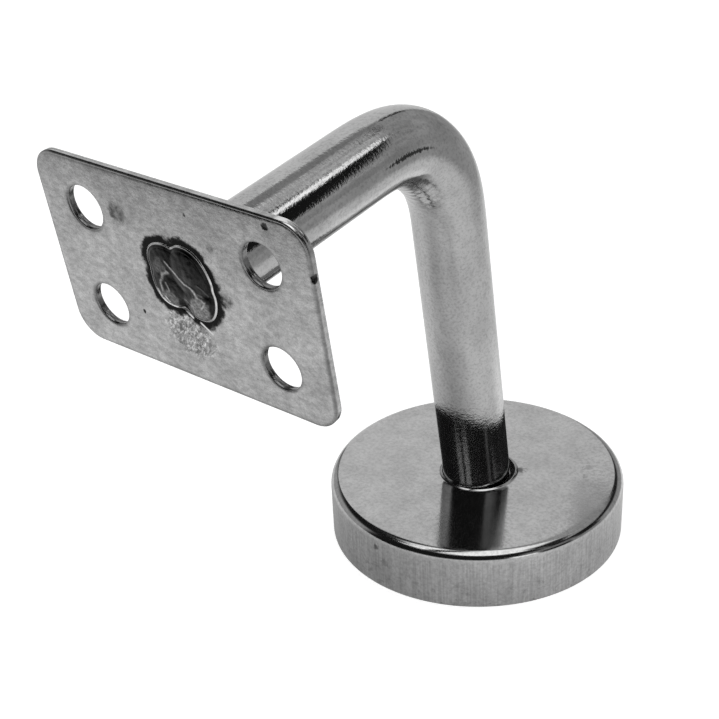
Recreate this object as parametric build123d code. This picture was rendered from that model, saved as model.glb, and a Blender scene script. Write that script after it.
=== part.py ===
from build123d import *
import os
from math import cos, hypot, radians, tan

# Handrail bracket: a bent round bar, welded to a wall flange at one end and to a
# punched saddle plate for the rail at the other, with a pressed cover over the flange.
# Millimetres. The wall is the plane z = 0 and +Z points away from it.
# The saddle points to -Y. The origin is the middle of the flange's wall face.

# Bent bar
rod_diameter = 16.0
leg_length = 108.8
arm_length = 72.2
bend_radius = 22.0
leg_lean = 8.0

# Saddle plate
saddle_width = 65.0
saddle_height = 40.0
saddle_thickness = 1.5
saddle_corner_radius = 5.5
rail_hole_diameter = 8.5
rail_hole_from_end = 11.25
rail_hole_from_side = 9.8
punched_edge_break = 0.3

# Plug weld that joins the saddle to the bar's end: it fills a hole in the plate and
# stands on the plate's face as four overlapping puddles
weld_plug_diameter = 10.0
puddle_radius = 5.4
puddle_crown_radius = 3.4
puddle_height = 1.0
puddle_pitch_wide = 5.4
puddle_pitch_high = 4.2
weld_shift_x = 0.7
weld_shift_up = 1.2

# Wall flange
flange_diameter = 60.0
flange_thickness = 4.0
flange_edge_break = 0.5
wall_screw_count = 3
wall_screw_from_rim = 8.0
wall_screw_hole = 5.5
wall_screw_head = 11.0
wall_weld_depth = 1.5

# Cover pressed from sheet, with room over the flange for the screw heads
cover_sheet = 1.0
cover_side_gap = 4.0
cover_head_room = 9.4
cover_edge_radius = 2.3
cover_inner_bevel = 1.0
cover_lip_break = 0.4
cover_rub_gap = 0.3
cover_shift_x = -0.5
cover_shift_y = -1.3

# Gap round the bar in the flange and round the weld's plug in the saddle
weld_fit_gap = 0.05

rod_radius = rod_diameter / 2
cover_radius = flange_diameter / 2 + cover_side_gap + cover_sheet
cover_height = flange_thickness + cover_head_room + cover_sheet
rod_half_width_leaning = rod_radius / cos(radians(leg_lean))

# The bar stands out of the middle of the flange and leans towards the saddle
leaning = Location((0, 0, 0), (leg_lean, 0, 0))

# Middle of the saddle's face in the bar's own upright frame, before it leans
saddle_middle = (0, -arm_length - saddle_thickness, leg_length)
saddle_face = Plane(origin=saddle_middle, x_dir=(1, 0, 0), z_dir=(0, -1, 0))
saddle_place = leaning * saddle_face.location


def slab(low, high):
    """Block that holds everything between two heights above the wall."""
    reach = 4 * (leg_length + arm_length)
    block = Box(reach, reach, high - low, align=(Align.CENTER, Align.CENTER, Align.MIN))
    return Pos(0, 0, low) * block


def leaning_post(radius):
    """Round post along the leg's axis, long enough to pass through the flange."""
    post = Cylinder(radius, leg_length, align=(Align.CENTER, Align.CENTER, Align.CENTER))
    return leaning * post


def bent_bar():
    """Round bar with one round bend, its foot cut parallel to the wall."""
    start = (0, 0, -rod_diameter)
    corner = (0, 0, leg_length)
    tip = (0, -arm_length, leg_length)
    route = FilletPolyline(start, corner, tip, radius=bend_radius)
    section = Pos(*start) * Circle(rod_radius)
    bar = leaning * sweep(section, path=route)
    below_foot = slab(-2 * rod_diameter, wall_weld_depth)
    return bar - below_foot


def saddle_plate():
    """Sheared plate with four punched holes and a plain hole that the plug weld fills."""
    outline = RectangleRounded(saddle_width, saddle_height, saddle_corner_radius)
    pitch_wide = saddle_width - 2 * rail_hole_from_end
    pitch_high = saddle_height - 2 * rail_hole_from_side
    rail_holes = GridLocations(pitch_wide, pitch_high, 2, 2)
    outline -= rail_holes * Circle(rail_hole_diameter / 2)
    sheet = extrude(outline, -saddle_thickness)
    front = sheet.faces().sort_by(Axis.Z)[-1]
    sheet = chamfer(front.edges(), punched_edge_break)
    weld_hole = Cylinder(weld_plug_diameter / 2, 4 * saddle_thickness)
    return saddle_place * (sheet - weld_hole)


def saddle_weld():
    """Plug in the saddle's hole down to the bar's end, under four overlapping puddles."""
    weld = Cylinder(
        weld_plug_diameter / 2 - weld_fit_gap,
        saddle_thickness,
        align=(Align.CENTER, Align.CENTER, Align.MAX),
    )
    puddle = Cone(
        puddle_radius,
        puddle_crown_radius,
        puddle_height,
        align=(Align.CENTER, Align.CENTER, Align.MIN),
    )
    for place in GridLocations(puddle_pitch_wide, puddle_pitch_high, 2, 2):
        weld += Pos(weld_shift_x, weld_shift_up, 0) * place * puddle
    return saddle_place * weld


def wall_flange():
    """Turned disc with countersunk screw holes and a bore along the leaning bar."""
    disc = Cylinder(
        flange_diameter / 2, flange_thickness, align=(Align.CENTER, Align.CENTER, Align.MIN)
    )
    disc = chamfer(disc.edges().filter_by(GeomType.CIRCLE).sort_by(Axis.Z)[-1], flange_edge_break)
    sink_depth = (wall_screw_head - wall_screw_hole) / 2
    sink = Cone(
        wall_screw_hole / 2,
        wall_screw_head / 2,
        sink_depth,
        align=(Align.CENTER, Align.CENTER, Align.MAX),
    )
    shank = Cylinder(wall_screw_hole / 2, 4 * flange_thickness)
    screw_hole = shank + Pos(0, 0, flange_thickness) * sink
    screw_circle_radius = flange_diameter / 2 - wall_screw_from_rim
    for place in PolarLocations(screw_circle_radius, wall_screw_count, start_angle=90):
        disc -= Pos(place.position) * screw_hole
    return disc - leaning_post(rod_radius + weld_fit_gap)


def wall_weld():
    """Plug of weld that fills the flange's bore below the bar, ground flush with the wall face."""
    return leaning_post(rod_radius) & slab(0, wall_weld_depth)


def cover_rose():
    """Round cap pressed from sheet, with a rounded edge and a hole that clears the leaning bar."""
    bar_y = -cover_height * tan(radians(leg_lean))
    off_centre = hypot(cover_shift_x, bar_y - cover_shift_y)
    hole_radius = rod_half_width_leaning + off_centre + cover_rub_gap
    outer = Cylinder(cover_radius, cover_height, align=(Align.CENTER, Align.CENTER, Align.MIN))
    outer = fillet(outer.edges().filter_by(GeomType.CIRCLE).sort_by(Axis.Z)[-1], cover_edge_radius)
    inner = Cylinder(
        cover_radius - cover_sheet,
        cover_height - cover_sheet,
        align=(Align.CENTER, Align.CENTER, Align.MIN),
    )
    inner_edge = inner.edges().filter_by(GeomType.CIRCLE).sort_by(Axis.Z)[-1]
    inner = chamfer(inner_edge, cover_inner_bevel)
    cap = outer - inner
    cap -= Cylinder(hole_radius, 4 * cover_height)
    lip = cap.edges().filter_by(GeomType.CIRCLE).group_by(Axis.Z)[-1].sort_by(SortBy.RADIUS)[0]
    cap = chamfer(lip, cover_lip_break)
    return Pos(cover_shift_x, cover_shift_y, 0) * cap


parts = {
    "bent_bar": bent_bar(),
    "saddle_plate": saddle_plate(),
    "saddle_weld": saddle_weld(),
    "wall_flange": wall_flange(),
    "wall_weld": wall_weld(),
    "cover_rose": cover_rose(),
}

os.makedirs("parts", exist_ok=True)
for name, solid in parts.items():
    export_step(solid, f"parts/{name}.step")
    print(name, round(solid.volume, 1), "mm3")
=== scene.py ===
# %% [markdown]
# # A stainless steel handrail bracket
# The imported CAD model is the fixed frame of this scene: it gives every size and every place.
# This script puts finer meshes and finishes over its nodes, in the same frame and in metres.
# The wall is the plane z = 0, +Z points away from it and the saddle points to -Y, so here the
# wall is the table that the bracket stands on.

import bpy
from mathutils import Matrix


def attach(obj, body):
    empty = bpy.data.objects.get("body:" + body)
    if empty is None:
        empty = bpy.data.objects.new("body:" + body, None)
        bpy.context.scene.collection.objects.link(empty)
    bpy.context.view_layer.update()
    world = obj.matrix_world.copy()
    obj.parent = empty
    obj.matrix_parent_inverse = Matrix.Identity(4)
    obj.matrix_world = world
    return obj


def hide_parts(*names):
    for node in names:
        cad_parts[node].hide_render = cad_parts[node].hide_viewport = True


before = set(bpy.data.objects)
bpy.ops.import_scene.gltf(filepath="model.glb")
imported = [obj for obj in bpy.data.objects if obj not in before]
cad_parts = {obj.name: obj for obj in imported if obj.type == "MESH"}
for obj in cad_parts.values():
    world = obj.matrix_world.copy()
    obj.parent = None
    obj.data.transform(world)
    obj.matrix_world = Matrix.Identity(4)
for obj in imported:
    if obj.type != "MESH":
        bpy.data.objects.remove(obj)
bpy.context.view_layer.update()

# %% Modules and the millimetre
import math

import bmesh
import bpy
from mathutils import Vector, noise
from mathutils.geometry import delaunay_2d_cdt

MM = 0.001

# %% [markdown]
# ## The camera
# A photograph fixes the camera: straight edges, circles and the bar's outline give its place,
# turn and lens by least squares. The numbers below are the result of that fit. The lens is
# fairly long, so the bracket looks calm, with little convergence. The small shift puts the
# picture's middle where the photograph has it.

# %% Camera
picture_width = 719
camera_place = (174.775 * MM, -241.917 * MM, 207.419 * MM)
camera_turn = (59.5978, 1.9317, 38.9265)
focal_pixels = 1474.71
axis_pixel = (387.63, 403.95)

lens = bpy.data.cameras.new("camera")
lens.sensor_width = 36.0
lens.lens = focal_pixels / picture_width * lens.sensor_width
lens.shift_x = -(axis_pixel[0] - picture_width / 2) / picture_width
lens.shift_y = (axis_pixel[1] - picture_width / 2) / picture_width
lens.clip_start = 0.01
camera = bpy.data.objects.new("camera", lens)
camera.location = camera_place
camera.rotation_euler = [math.radians(angle) for angle in camera_turn]
bpy.context.scene.collection.objects.link(camera)
bpy.context.scene.camera = camera
print("lens", round(lens.lens, 2), "mm, shift", round(lens.shift_x, 3), round(lens.shift_y, 3))

# %% [markdown]
# ## Sizes of the real thing
# The sizes repeat those of the CAD model, in millimetres. The bar leans towards the saddle, so
# it is easiest to shape the bar, the saddle and the weld in an upright frame, where the leg is
# vertical, and to lean each point at the end. One helper does that for all of them.

# %% Sizes and the lean
rod_radius = 8.0
leg_length = 108.8
arm_length = 72.2
bend_radius = 22.0
leg_lean = math.radians(8.0)
saddle_width = 65.0
saddle_height = 40.0
saddle_thickness = 1.5
saddle_corner = 5.5
rail_hole_radius = 4.25
rail_holes = [(x, z) for x in (-21.25, 21.25) for z in (-10.2, 10.2)]
weld_plug_radius = 5.0
cover_radius = 35.0
cover_height = 14.4
cover_middle = (-0.5, -1.3)
punch_middle = (0.2, -1.45)
punch_radius = 8.72


def leaned(x, y, z):
    """Point of the upright frame, in millimetres, leaned over and turned into metres."""
    cosine, sine = math.cos(leg_lean), math.sin(leg_lean)
    return Vector((x, y * cosine - z * sine, y * sine + z * cosine)) * MM


print("bar's corner after the lean", [round(value / MM, 1) for value in leaned(0, 0, leg_length)])

# %% [markdown]
# ## Meshes from rings
# Most pieces here are turned, drawn or pressed, so their skin is a row of rings. A ring is a
# closed row of points, and a quad joins each point to its neighbour and to the ring before it.
# An attribute called grain goes along: it says in millimetres where a point lies on the stock,
# such as how far along the bar, so that a finish follows the metal round a bend at true scale.

# %% Helpers for meshes
def make_piece(name, points, faces, grain):
    """Mesh object of these points and faces, with each point's place on the stock."""
    mesh = bpy.data.meshes.new(name)
    mesh.from_pydata([tuple(point) for point in points], [], faces)
    shaped = bmesh.new()
    shaped.from_mesh(mesh)
    bmesh.ops.recalc_face_normals(shaped, faces=shaped.faces)
    shaped.to_mesh(mesh)
    shaped.free()
    mesh.polygons.foreach_set("use_smooth", [True] * len(mesh.polygons))
    layer = mesh.attributes.new("grain", "FLOAT_VECTOR", "POINT")
    layer.data.foreach_set("vector", [value for place in grain for value in place])
    piece = bpy.data.objects.new(name, mesh)
    bpy.context.scene.collection.objects.link(piece)
    return piece


def ring_faces(ring_count, around, closed=False):
    """Quads between neighbouring rings, and from the last ring to the first if closed."""
    faces = []
    for ring in range(ring_count if closed else ring_count - 1):
        low = ring * around
        high = (ring + 1) % ring_count * around
        for step in range(around):
            after = (step + 1) % around
            faces.append((low + step, low + after, high + after, high + step))
    return faces


def ease(value, low, high):
    """0 below low, 1 above high and a smooth rise between them."""
    share = min(max((value - low) / (high - low), 0.0), 1.0)
    return share * share * (3 - 2 * share)


def rough_noise(x, y, z=0.0, seed=0.0):
    """Smooth noise between about -1 and 1, at a grain of about one unit. seed moves it away."""
    return noise.noise(Vector((x, y, z + seed)))


# %% [markdown]
# ## The bent bar
# The real bar is a length of drawn round stainless steel, bent cold round a former. The metal
# doesn't turn all at once: the bend tightens over some millimetres and opens again, which a
# mirror finish shows as reflections that flow into the bend without a kink. On the inside the
# metal is pushed together, so it swells and wrinkles. A curve object with a round bevel would
# give the run, but not these marks, so the skin is built ring by ring: each ring sits square on
# the bar's middle line, which is walked in small steps, and its radius varies with the place.

# %% The bar's middle line
wall_weld_depth = 1.5
# Easing in and out takes length, so the middle of the bend is tighter than the drawn radius.
tightened_by = 1.7
tightest_radius = bend_radius - tightened_by
ease_length = 13.0
bend_length = tightest_radius * math.pi / 2 + ease_length
walk_steps = 600
walk_step = bend_length / walk_steps

bend_walk = []
walked_y, walked_z, turned = 0.0, 0.0, 0.0
for index in range(walk_steps + 1):
    bend_walk.append((walked_y, walked_z, turned))
    along = (index + 0.5) * walk_step
    tightness = min(1.0, along / ease_length, (bend_length - along) / ease_length)
    turn = tightness * walk_step / tightest_radius
    walked_y -= math.sin(turned + turn / 2) * walk_step
    walked_z += math.cos(turned + turn / 2) * walk_step
    turned += turn
bend_end_y, bend_end_z = bend_walk[-1][:2]
leg_straight = leg_length - bend_end_z
arm_straight = arm_length + bend_end_y
bar_length = leg_straight + bend_length + arm_straight


def bar_station(distance):
    """Centre and outward side of the bar, upright frame, at a distance from the wall."""
    if distance <= leg_straight:
        return Vector((0, 0, distance)), Vector((0, 1, 0))
    if distance >= leg_straight + bend_length:
        along = distance - leg_straight - bend_length
        return Vector((0, bend_end_y - along, leg_length)), Vector((0, 0, 1))
    index, share = divmod((distance - leg_straight) / walk_step, 1.0)
    before, after = Vector(bend_walk[int(index)]), Vector(bend_walk[int(index) + 1])
    y, z, angle = before.lerp(after, share)
    return Vector((0, y, leg_straight + z)), Vector((0, math.cos(angle), math.sin(angle)))


print("bar is", round(bar_length, 1), "mm along its middle, bent", round(math.degrees(turned), 2))


# %% How far the bar's skin lies under the drawn radius
swell_outside = 0.25
swell_inside = 0.95
wrinkle_depth = 0.07
uneven_depth = 0.012


def bar_sink(angle, distance):
    """Depth in millimetres of the marks that drawing and bending leave, less than 0 if swollen."""
    along_bend = (distance - leg_straight) / bend_length
    in_bend = ease(along_bend, 0.05, 0.45) * (1 - ease(along_bend, 0.50, 0.85))
    outside = max(math.cos(angle), 0.0) ** 2
    inside = max(-math.cos(angle), 0.0) ** 2
    swollen = in_bend * (swell_outside * outside + swell_inside * inside)
    wrinkle = 0.5 + 0.5 * math.sin(distance * 1.9 + 0.8 * rough_noise(angle, distance * 0.3))
    wrinkles = wrinkle_depth * in_bend * inside * wrinkle
    around = (math.cos(angle) * 1.5, math.sin(angle) * 1.5)
    uneven = uneven_depth * (1 + rough_noise(*around, distance / 9))
    return wrinkles + uneven - swollen


# %% The bar's skin
bar_around = 128
bar_step = 0.4
first_full_ring = 4.0
ring_distances = [first_full_ring]
while ring_distances[-1] < bar_length:
    ring_distances.append(min(ring_distances[-1] + bar_step, bar_length))

bar_points = []
bar_grain = []
for index, distance in enumerate([0.0] + ring_distances):
    for step in range(bar_around):
        angle = 2 * math.pi * step / bar_around
        place = distance
        if index == 0:
            height = wall_weld_depth - rod_radius * math.cos(angle) * math.sin(leg_lean)
            place = height / math.cos(leg_lean)
        centre, outward = bar_station(place)
        sideways = Vector((1, 0, 0))
        radius = rod_radius - bar_sink(angle, place)
        across = (rod_radius * math.cos(angle), rod_radius * math.sin(angle))
        point = centre + radius * (math.cos(angle) * outward + math.sin(angle) * sideways)
        bar_points.append(leaned(*point))
        bar_grain.append((*across, place))
bar_faces = ring_faces(len(ring_distances) + 1, bar_around)
bar_faces.append(tuple(range(bar_around)))
bar_faces.append(tuple(range(len(bar_points) - bar_around, len(bar_points))))
bar_skin = make_piece("bar_skin", bar_points, bar_faces, bar_grain)
print("bar skin", len(bar_points), "points")

# %% [markdown]
# ## The cover
# The real cover is a disc of thin sheet that a press draws into a shallow cap and then punches.
# Such a piece is a turned profile: down the wall outside, round the lip, up the wall inside,
# along the underside to the hole and back over the top. Spinning that profile gives true sheet
# with both faces. The pressed edge is a quarter round. The punch came from below and left a
# small burr standing round the hole, which catches the overhead light as a bright line. The
# wall of the real one isn't perfectly even, so it swells by hundredths, and the punch sat a
# little off the middle, so the rings move over to the hole's own middle as they near it.

# %% The cover's profile
cover_sheet = 1.0
cover_edge = 2.3
cover_lip = 0.22
lip_turn = 0.1
# Each pair is how far a ring lies from the hole's wall and how high it stands over the top.
burr = [(0.80, 0.0), (0.55, 0.04), (0.36, 0.14), (0.22, 0.26)]
burr += [(0.10, 0.30), (0.03, 0.26), (0.0, 0.14)]
inner_edge = cover_edge - cover_sheet


def quarter(centre_r, centre_z, radius, first, last, count):
    """Points (r, z) of an arc, with its angles in degrees from the outward direction."""
    arc = []
    for step in range(count + 1):
        angle = math.radians(first + (last - first) * step / count)
        arc.append((centre_r + radius * math.cos(angle), centre_z + radius * math.sin(angle)))
    return arc


def run(start, end, count):
    """Points (r, z) between two ends, the ends left out."""
    share = [(step + 1) / (count + 1) for step in range(count)]
    return [(start[0] + (end[0] - start[0]) * s, start[1] + (end[1] - start[1]) * s) for s in share]


wall_top = (cover_radius, cover_height - cover_edge)
top_rim = (cover_radius - cover_edge, cover_height)
hole_edge = (punch_radius + burr[0][0], cover_height)
profile = quarter(cover_radius - cover_lip, cover_lip, cover_lip, -90, 0, 4)
profile += run(profile[-1], wall_top, 16)
profile += quarter(cover_radius - cover_edge, cover_height - cover_edge, cover_edge, 0, 90, 12)
profile += run(top_rim, hole_edge, 26)
profile += [(punch_radius + beside, cover_height + raised) for beside, raised in burr]
profile += [(punch_radius, cover_height - cover_sheet)]
profile += run(profile[-1], (cover_radius - cover_edge, cover_height - cover_sheet), 8)
inside_corner = (cover_radius - cover_edge, cover_height - cover_edge)
profile += quarter(*inside_corner, inner_edge, 90, 0, 6)
profile += [(cover_radius - cover_sheet, cover_lip), (cover_radius - cover_sheet + lip_turn, 0.0)]
print("cover profile has", len(profile), "points")

# %% Spin the cover's profile
cover_around = 288
cover_points = []
for radius, height in profile:
    on_top = ease(height, cover_height - 0.3, cover_height - 0.05)
    for step in range(cover_around):
        angle = 2 * math.pi * step / cover_around
        x, y = math.cos(angle), math.sin(angle)
        swell = 0.016 * (1 + rough_noise(3 * x, 3 * y, height / 6, seed=3.0)) * (1 - on_top)
        dish = 0.012 * (1 + rough_noise(x * radius / 11, y * radius / 11, seed=5.0)) * on_top
        span = radius - (swell if radius > 0.6 * cover_radius else 0)
        to_hole = 1 - ease(radius, punch_radius, 0.6 * cover_radius)
        middle_x = cover_middle[0] + to_hole * (punch_middle[0] - cover_middle[0])
        middle_y = cover_middle[1] + to_hole * (punch_middle[1] - cover_middle[1])
        cover_points.append(Vector((middle_x + span * x, middle_y + span * y, height - dish)) * MM)
cover_faces = ring_faces(len(profile), cover_around, closed=True)
cover_grain = [point / MM for point in cover_points]
cover_cap = make_piece("cover_cap", cover_points, cover_faces, cover_grain)
print("cover", len(cover_points), "points")

# %% [markdown]
# ## The saddle plate
# The real plate is sheared and punched from sheet. Shears and punches pull the skin down with
# them before the metal tears, so the front edges are rolled, and the wall below is smooth and
# then torn. A boolean would leave knife edges, so the plate is built from its outlines: each
# one is repeated at several depths to make the rolled edge and the wall. Between the outlines a
# triangulation fills the front with small triangles, fine enough to carry the plate's slight
# waves and the attributes that its finish needs.

# %% Outlines of the plate
corner_steps = 14
side_points = 60


def plate_outline(inset):
    """Rounded rectangle of the plate's edge, moved inward, as a closed row of points."""
    half_w, half_h = saddle_width / 2 - saddle_corner, saddle_height / 2 - saddle_corner
    radius = saddle_corner - inset
    row = []
    for index, (sign_x, sign_z) in enumerate(((1, 1), (-1, 1), (-1, -1), (1, -1))):
        for step in range(corner_steps + 1):
            angle = math.radians(90 * (index + step / corner_steps))
            x = sign_x * half_w + radius * math.cos(angle)
            z = sign_z * half_h + radius * math.sin(angle)
            row.append((x, z))
        next_x, next_z = ((-1, 1), (-1, -1), (1, -1), (1, 1))[index]
        angle = math.radians(90 * (index + 1))
        end_x = next_x * half_w + radius * math.cos(angle)
        end_z = next_z * half_h + radius * math.sin(angle)
        row += run(row[-1], (end_x, end_z), side_points)
    return row


def round_outline(middle, radius, count):
    """Circle round a hole's middle as a closed row of points."""
    angles = [2 * math.pi * step / count for step in range(count)]
    return [(middle[0] + radius * math.cos(a), middle[1] + radius * math.sin(a)) for a in angles]


print("outline has", len(plate_outline(0)), "points")

# %% Depths of the rolled edge and the torn wall
# Each pair is how far a ring lies inside the material and how far under the front face.
rolled_edge = [(0.42, 0.0), (0.24, 0.025), (0.11, 0.08), (0.03, 0.17), (0.0, 0.30)]
torn_wall = [(0.0, 0.62), (0.03, 0.72), (0.05, 1.05), (0.04, 1.36), (0.10, 1.5)]
edge_rings = rolled_edge + torn_wall


def plate_rings(outline_at, wobble):
    """Rings of one outline from the front face to the back, each a row of (x, z, depth)."""
    rings = []
    for inset, depth in edge_rings:
        torn = ease(depth, 0.6, 0.9)
        row = []
        for x, z in outline_at(inset):
            tear = wobble * torn * rough_noise(x * 2.2, z * 2.2, depth * 2, seed=2.0)
            row.append((x + tear, z + tear, depth))
        rings.append(row)
    return rings


hole_steps = 72
outline_makers = [plate_outline]
for hole in rail_holes:
    outline_makers.append(
        lambda inset, hole=hole: round_outline(hole, rail_hole_radius + inset, hole_steps)
    )
outline_makers.append(lambda inset: round_outline((0, 0), weld_plug_radius + inset, hole_steps))
print("outlines to build", len(outline_makers))

# %% The weld's lobed rim
weld_middle = (0.7, 1.2)
weld_waves = [(2, 0.50, -22.0), (3, 0.29, -145.0), (4, 0.45, -176.0), (5, 0.21, 11.0)]
weld_notches = [(99.0, 9.0, 0.55), (-96.0, 12.0, 0.75), (1.0, 7.0, 0.25), (171.0, 7.0, 0.25)]


def weld_reach(angle):
    """Radius of the weld's lobed rim round its middle, in millimetres."""
    reach = 7.86 + 0.25 * math.sin(angle)
    for waves, swing, phase in weld_waves:
        reach += swing * math.cos(waves * angle - math.radians(phase))
    for place, width, depth in weld_notches:
        turn = (math.degrees(angle) - place + 180) % 360 - 180
        reach -= depth * math.exp(-((turn / width) ** 2))
    return reach


def beyond_weld(x, z):
    """Distance in millimetres from the weld's rim, negative inside it."""
    dx, dz = x - weld_middle[0], z - weld_middle[1]
    return math.hypot(dx, dz) - weld_reach(math.atan2(dz, dx))


print("weld's rim in mm", [round(weld_reach(math.radians(turn)), 1) for turn in range(0, 360, 45)])

# %% Marks, scuffs and the painted highlight of the plate
# Each mark has its place on the face, its size and its strength.
marks = [
    (23.8, 18.2, 0.80, 1.0),
    (33.0, 10.8, 1.15, 1.0),
    (-12.7, 11.3, 2.8, 0.46),
    (9.7, 10.3, 1.2, 0.42),
    (5.1, 15.5, 0.45, 0.7),
    (-11.9, -8.7, 0.50, 0.85),
    (-14.4, -11.0, 0.35, 0.5),
    (14.7, -14.7, 0.40, 0.5),
    (24.1, -3.9, 0.50, 0.35),
    (-14.0, 1.0, 1.8, 0.20),
    (11.0, 0.3, 2.2, 0.45),
    (-28.0, -17.6, 2.6, 0.25),
]
scuff_middle = (-0.2, -10.2)
scuff_reach = (7.2, 5.8)


def mark_at(x, z):
    """How strongly dirt or burn covers a place of the face, from 0 to 1."""
    total = 0.0
    for mark_x, mark_z, size, depth in marks:
        away = math.dist((x, z), (mark_x, mark_z)) / size
        if away < 2.2:
            away *= 1 + 0.35 * rough_noise(x * 1.6, z * 1.6, seed=21.0)
            total = max(total, depth * (1 - ease(away, 0.55, 1.25)))
    return total


def scuff_at(x, z):
    """How strongly a place lies in the scuffed patch below the weld, from 0 to 1."""
    dx = (x - scuff_middle[0]) / scuff_reach[0]
    dz = (z - scuff_middle[1]) / scuff_reach[1]
    frayed = math.hypot(dx, dz) * (1 + 0.3 * rough_noise(x * 0.7, z * 0.7, seed=27.0))
    return 1 - ease(frayed, 0.45, 1.1)


def corner_highlight_at(x, z, depth):
    """How strongly a painted highlight covers the sheared wall at the plate's upper corner, 0 to 1.
    """
    along = ease(x, 25.0, 26.5) * (1 - ease(x, 30.0, 31.2))
    from_top = saddle_height / 2 - z
    return along * (1 - ease(from_top, 0.6, 1.4)) * ease(depth, 0.1, 0.3)


def wall_painted_light(x, z, depth):
    """How much farther from its edge the plate's outer wall counts, so that the painted edge shade
    leaves it painted lighter.
    """
    beside, above = abs(x) - saddle_width / 2 + 2.5, abs(z) - saddle_height / 2 + 2.0
    return 0.8 * ease(depth, 0.2, 0.5) * ease(max(beside, above), 0, 1)


print("the plate has", len(marks), "marks and one scuffed patch")

# %% Fill the faces between the outlines
face_grain = 0.42
back_grain = 1.6


def edge_distance(x, z):
    """Distance in millimetres to the nearest edge of the plate or of a hole."""
    half_w, half_h = saddle_width / 2 - saddle_corner, saddle_height / 2 - saddle_corner
    dx, dz = abs(x) - half_w, abs(z) - half_h
    if dx > 0 and dz > 0:
        nearest = saddle_corner - math.hypot(dx, dz)
    else:
        nearest = saddle_corner - max(dx, dz)
    nearest = min(nearest, math.hypot(x, z) - weld_plug_radius)
    return min([nearest] + [math.dist((x, z), hole) - rail_hole_radius for hole in rail_holes])


def fill_between(rows, grain, inset):
    """Triangles between closed rows of points, with new points at a jittered grain inside."""
    points = [Vector(point) for row in rows for point in row]
    edges = []
    start = 0
    for row in rows:
        edges += [(start + i, start + (i + 1) % len(row)) for i in range(len(row))]
        start += len(row)
    for i in range(int(saddle_width / grain) + 1):
        for j in range(int(saddle_height / grain) + 1):
            x = -saddle_width / 2 + (i + 0.5 * (j % 2)) * grain
            z = -saddle_height / 2 + j * grain
            x += 0.25 * grain * rough_noise(i * 0.9, j * 0.9, seed=11.0)
            z += 0.25 * grain * rough_noise(i * 0.9, j * 0.9, seed=17.0)
            if edge_distance(x, z) > inset + 0.55 * grain:
                points.append(Vector((x, z)))
    filled = delaunay_2d_cdt(points, edges, [], 1, 1e-7)
    original = [source[0] for source in filled[3]]
    triangles = []
    for corners in filled[2]:
        triangle = tuple(original[corner] for corner in corners)
        x, z = sum((points[corner] for corner in triangle), Vector((0, 0))) / 3
        if edge_distance(x, z) > inset - 0.004:
            triangles.append(triangle)
    return [tuple(point) for point in points], triangles


ring_sets = [plate_rings(maker, 0.03) for maker in outline_makers]
front_points, front_faces = fill_between(
    [[point[:2] for point in rings[0]] for rings in ring_sets], face_grain, edge_rings[0][0]
)
back_points, back_faces = fill_between(
    [maker(edge_rings[-1][0]) for maker in outline_makers], back_grain, edge_rings[-1][0]
)
print("front", len(front_faces), "triangles, back", len(back_faces))


# %% Join front, walls and back into the plate
def face_sink(x, z):
    """Depth in millimetres of the rolled skin and the slight waves of the sheet."""
    rolled = 0.05 * math.exp(-max(edge_distance(x, z), 0) / 0.6)
    waves = 0.02 * (1 + rough_noise(x / 9, z / 9, seed=31.0))
    eaten = 0.012 * mark_at(x, z) * (1 + rough_noise(x * 1.3, z * 1.3, seed=8.0))
    return rolled + waves + eaten


saddle_front = -arm_length - saddle_thickness
plate_points = [(x, z, 0.0) for x, z in front_points]
plate_faces = list(front_faces)
back_start = len(plate_points)
plate_points += [(x, z, saddle_thickness) for x, z in back_points]
plate_faces += [tuple(corner + back_start for corner in face) for face in back_faces]
row_start = 0
for rings in ring_sets:
    around = len(rings[0])
    indices = [list(range(row_start, row_start + around))]
    for ring in rings[1:-1]:
        indices.append(list(range(len(plate_points), len(plate_points) + around)))
        plate_points += ring
    indices.append([back_start + index for index in indices[0]])
    for upper, lower in zip(indices, indices[1:]):
        for step in range(around):
            after = (step + 1) % around
            plate_faces.append((upper[step], upper[after], lower[after], lower[step]))
    row_start += around

plate_places = []
for x, z, depth in plate_points:
    sink = depth + face_sink(x, z) * (1 - depth / saddle_thickness)
    plate_places.append(leaned(x, saddle_front + sink, leg_length + z))
saddle_sheet = make_piece("saddle_sheet", plate_places, plate_faces, plate_points)
print("plate", len(plate_points), "points,", len(plate_faces), "faces")

# %% What the plate's finish needs to know at each point
def tell_points(piece, name, values):
    """Gives each point of a piece one number that a finish can read."""
    layer = piece.data.attributes.new(name, "FLOAT", "POINT")
    layer.data.foreach_set("value", values)


facing = [1 - ease(depth, 0.8, 1.4) for x, z, depth in plate_points]
from_weld = [beyond_weld(x, z) + depth for x, z, depth in plate_points]
dirty = [front * mark_at(x, z) for front, (x, z, depth) in zip(facing, plate_points)]
scuffs = [front * scuff_at(x, z) for front, (x, z, depth) in zip(facing, plate_points)]
tell_points(saddle_sheet, "beyond_weld", from_weld)
tell_points(saddle_sheet, "grime", dirty)
tell_points(saddle_sheet, "scuffed", scuffs)
# Where the painted highlight lies on the upper corner's sheared wall.
tell_points(saddle_sheet, "corner_highlight", [corner_highlight_at(x, z, depth) for x, z, depth in plate_points])
# The outer wall counts as farther from the edge, so the painted edge shade leaves it painted
# lighter.
from_edge = [edge_distance(x, z) + wall_painted_light(x, z, depth) for x, z, depth in plate_points]
tell_points(saddle_sheet, "from_edge", from_edge)
print("plate carries", [layer.name for layer in saddle_sheet.data.attributes][:6])

# %% [markdown]
# ## The weld
# The real plug weld is run in from the front: the torch circles, and the metal freezes as a few
# overlapping puddles with a thin raised rim. It is all one lump, so one height map over a round
# grid is enough. Each puddle is a low dome, the domes are blended so that a valley stays
# between them, and a ridge crosses them where the last pass ended. The plug fills the plate's
# hole behind the puddles.

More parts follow.
